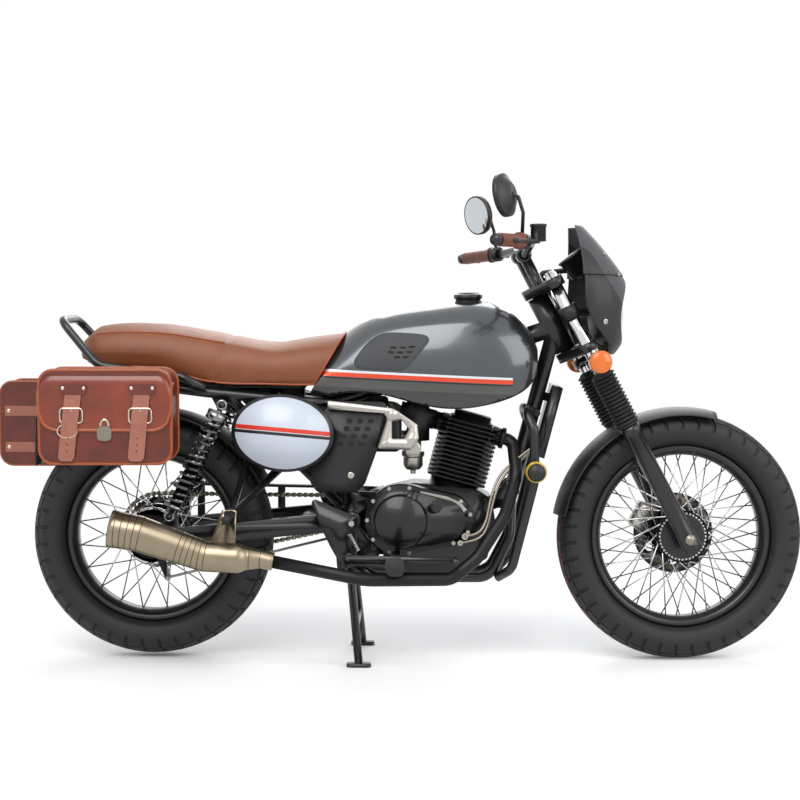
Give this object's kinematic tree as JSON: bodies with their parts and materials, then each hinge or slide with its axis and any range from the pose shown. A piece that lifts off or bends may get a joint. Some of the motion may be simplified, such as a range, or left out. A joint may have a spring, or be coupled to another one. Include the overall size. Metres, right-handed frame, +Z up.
{
  "type": "roadster motorcycle",
  "caption": "Single-cylinder roadster motorcycle with spoked wheels, round-mirror bars, small cowl, leather bags and a centre stand.",
  "frame": {"origin": "on the ground under the middle of the whole object's box", "axes": "+X forward, +Y to the rider's left, +Z up"},
  "size_m": [2.1899, 0.8031, 1.2663],
  "materials": {
    "black_metal": "satin",
    "engine_black": "satin",
    "bright_alloy": "satin",
    "chrome": "polished",
    "tank_grey": "gloss",
    "seat_leather": "satin",
    "bag_leather": "satin",
    "grip_rubber": "matte",
    "black_plastic": "satin",
    "grey_screen": "gloss",
    "rubber": "matte",
    "tyre": "matte",
    "lamp_glass": "gloss",
    "orange_lens": "gloss",
    "red_lens": "gloss",
    "board_white": "gloss",
    "bronze_steel": "satin",
    "dark_pipe": "satin",
    "chain_steel": "satin"
  },
  "bodies": {
    "frame": {"frame": "black_metal", "swingarm": "black_metal", "rear_axle": "chain_steel", "shocks": "chrome", "shock_springs": "black_metal", "brake_plate": "bright_alloy", "engine_crankcase": "engine_black", "engine_cylinder": "engine_black", "engine_covers": "engine_black", "carburettor": "black_plastic", "exhaust_header": "dark_pipe", "muffler": "bronze_steel", "fuel_tank": "tank_grey", "fuel_cap": "black_metal", "seat": "seat_leather", "seat_pan": "black_plastic", "saddlebag_right": "bag_leather", "saddlebag_left": "bag_leather", "grab_rail": "black_metal", "rear_fender": "black_plastic", "tail_lamp": "red_lens", "rear_indicators": "orange_lens", "side_boards": "board_white", "side_panels": "black_plastic", "tank_trims": "bright_alloy", "oil_cooler": "black_metal", "engine_guard": "black_metal", "guard_sliders": "black_plastic", "peg_hangers": "bright_alloy", "foot_pegs": "rubber", "foot_controls": "black_metal", "chain": "chain_steel", "chain_guard": "black_plastic"},
    "steering": {"triple_clamps": "black_metal", "fork_stanchions": "chrome", "fork_lowers": "black_metal", "fork_bellows": "rubber", "front_axle": "chain_steel", "front_fender": "black_plastic", "front_caliper": "bright_alloy", "handlebar": "black_metal", "grips": "grip_rubber", "bar_controls": "black_plastic", "mirrors": "black_plastic", "headlamp": "lamp_glass", "cowl": "black_plastic", "screen": "grey_screen", "instrument": "black_plastic", "front_indicators": "orange_lens"},
    "front_wheel": {"front_tyre": "tyre", "front_rim": "bright_alloy", "front_hub": "bright_alloy", "front_disc": "chain_steel"},
    "rear_wheel": {"rear_tyre": "tyre", "rear_rim": "bright_alloy", "rear_hub": "bright_alloy", "rear_sprocket": "chain_steel"},
    "centre_stand": {"centre_stand": "black_metal"},
    "side_stand": {"side_stand": "black_metal"}
  },
  "joints": [
    {"name": "steering", "type": "hinge", "parent": "frame", "child": "steering", "pos_m": [0.73262, 0, 0.30876], "axis": [-0.4664, 0, 0.8846], "range_deg": [-43.5, 32.5]},
    {"name": "front_wheel_spin", "type": "hinge", "parent": "steering", "child": "front_wheel", "pos_m": [0.76784, 0.00383, 0.32733], "axis": [-0.0848, 0.9954, -0.0447], "continuous": true},
    {"name": "rear_wheel_spin", "type": "hinge", "parent": "frame", "child": "rear_wheel", "pos_m": [-0.632, 0, 0.328], "axis": [0, 1, 0], "continuous": true},
    {"name": "centre_stand", "type": "hinge", "parent": "frame", "child": "centre_stand", "pos_m": [-0.105, 0, 0.262], "axis": [0, 1, 0], "range_deg": [0, 95]},
    {"name": "side_stand", "type": "hinge", "parent": "frame", "child": "side_stand", "pos_m": [0.11, 0.13, 0.236], "axis": [0, -0.9397, -0.342], "range_deg": [0, 105]}
  ]
}
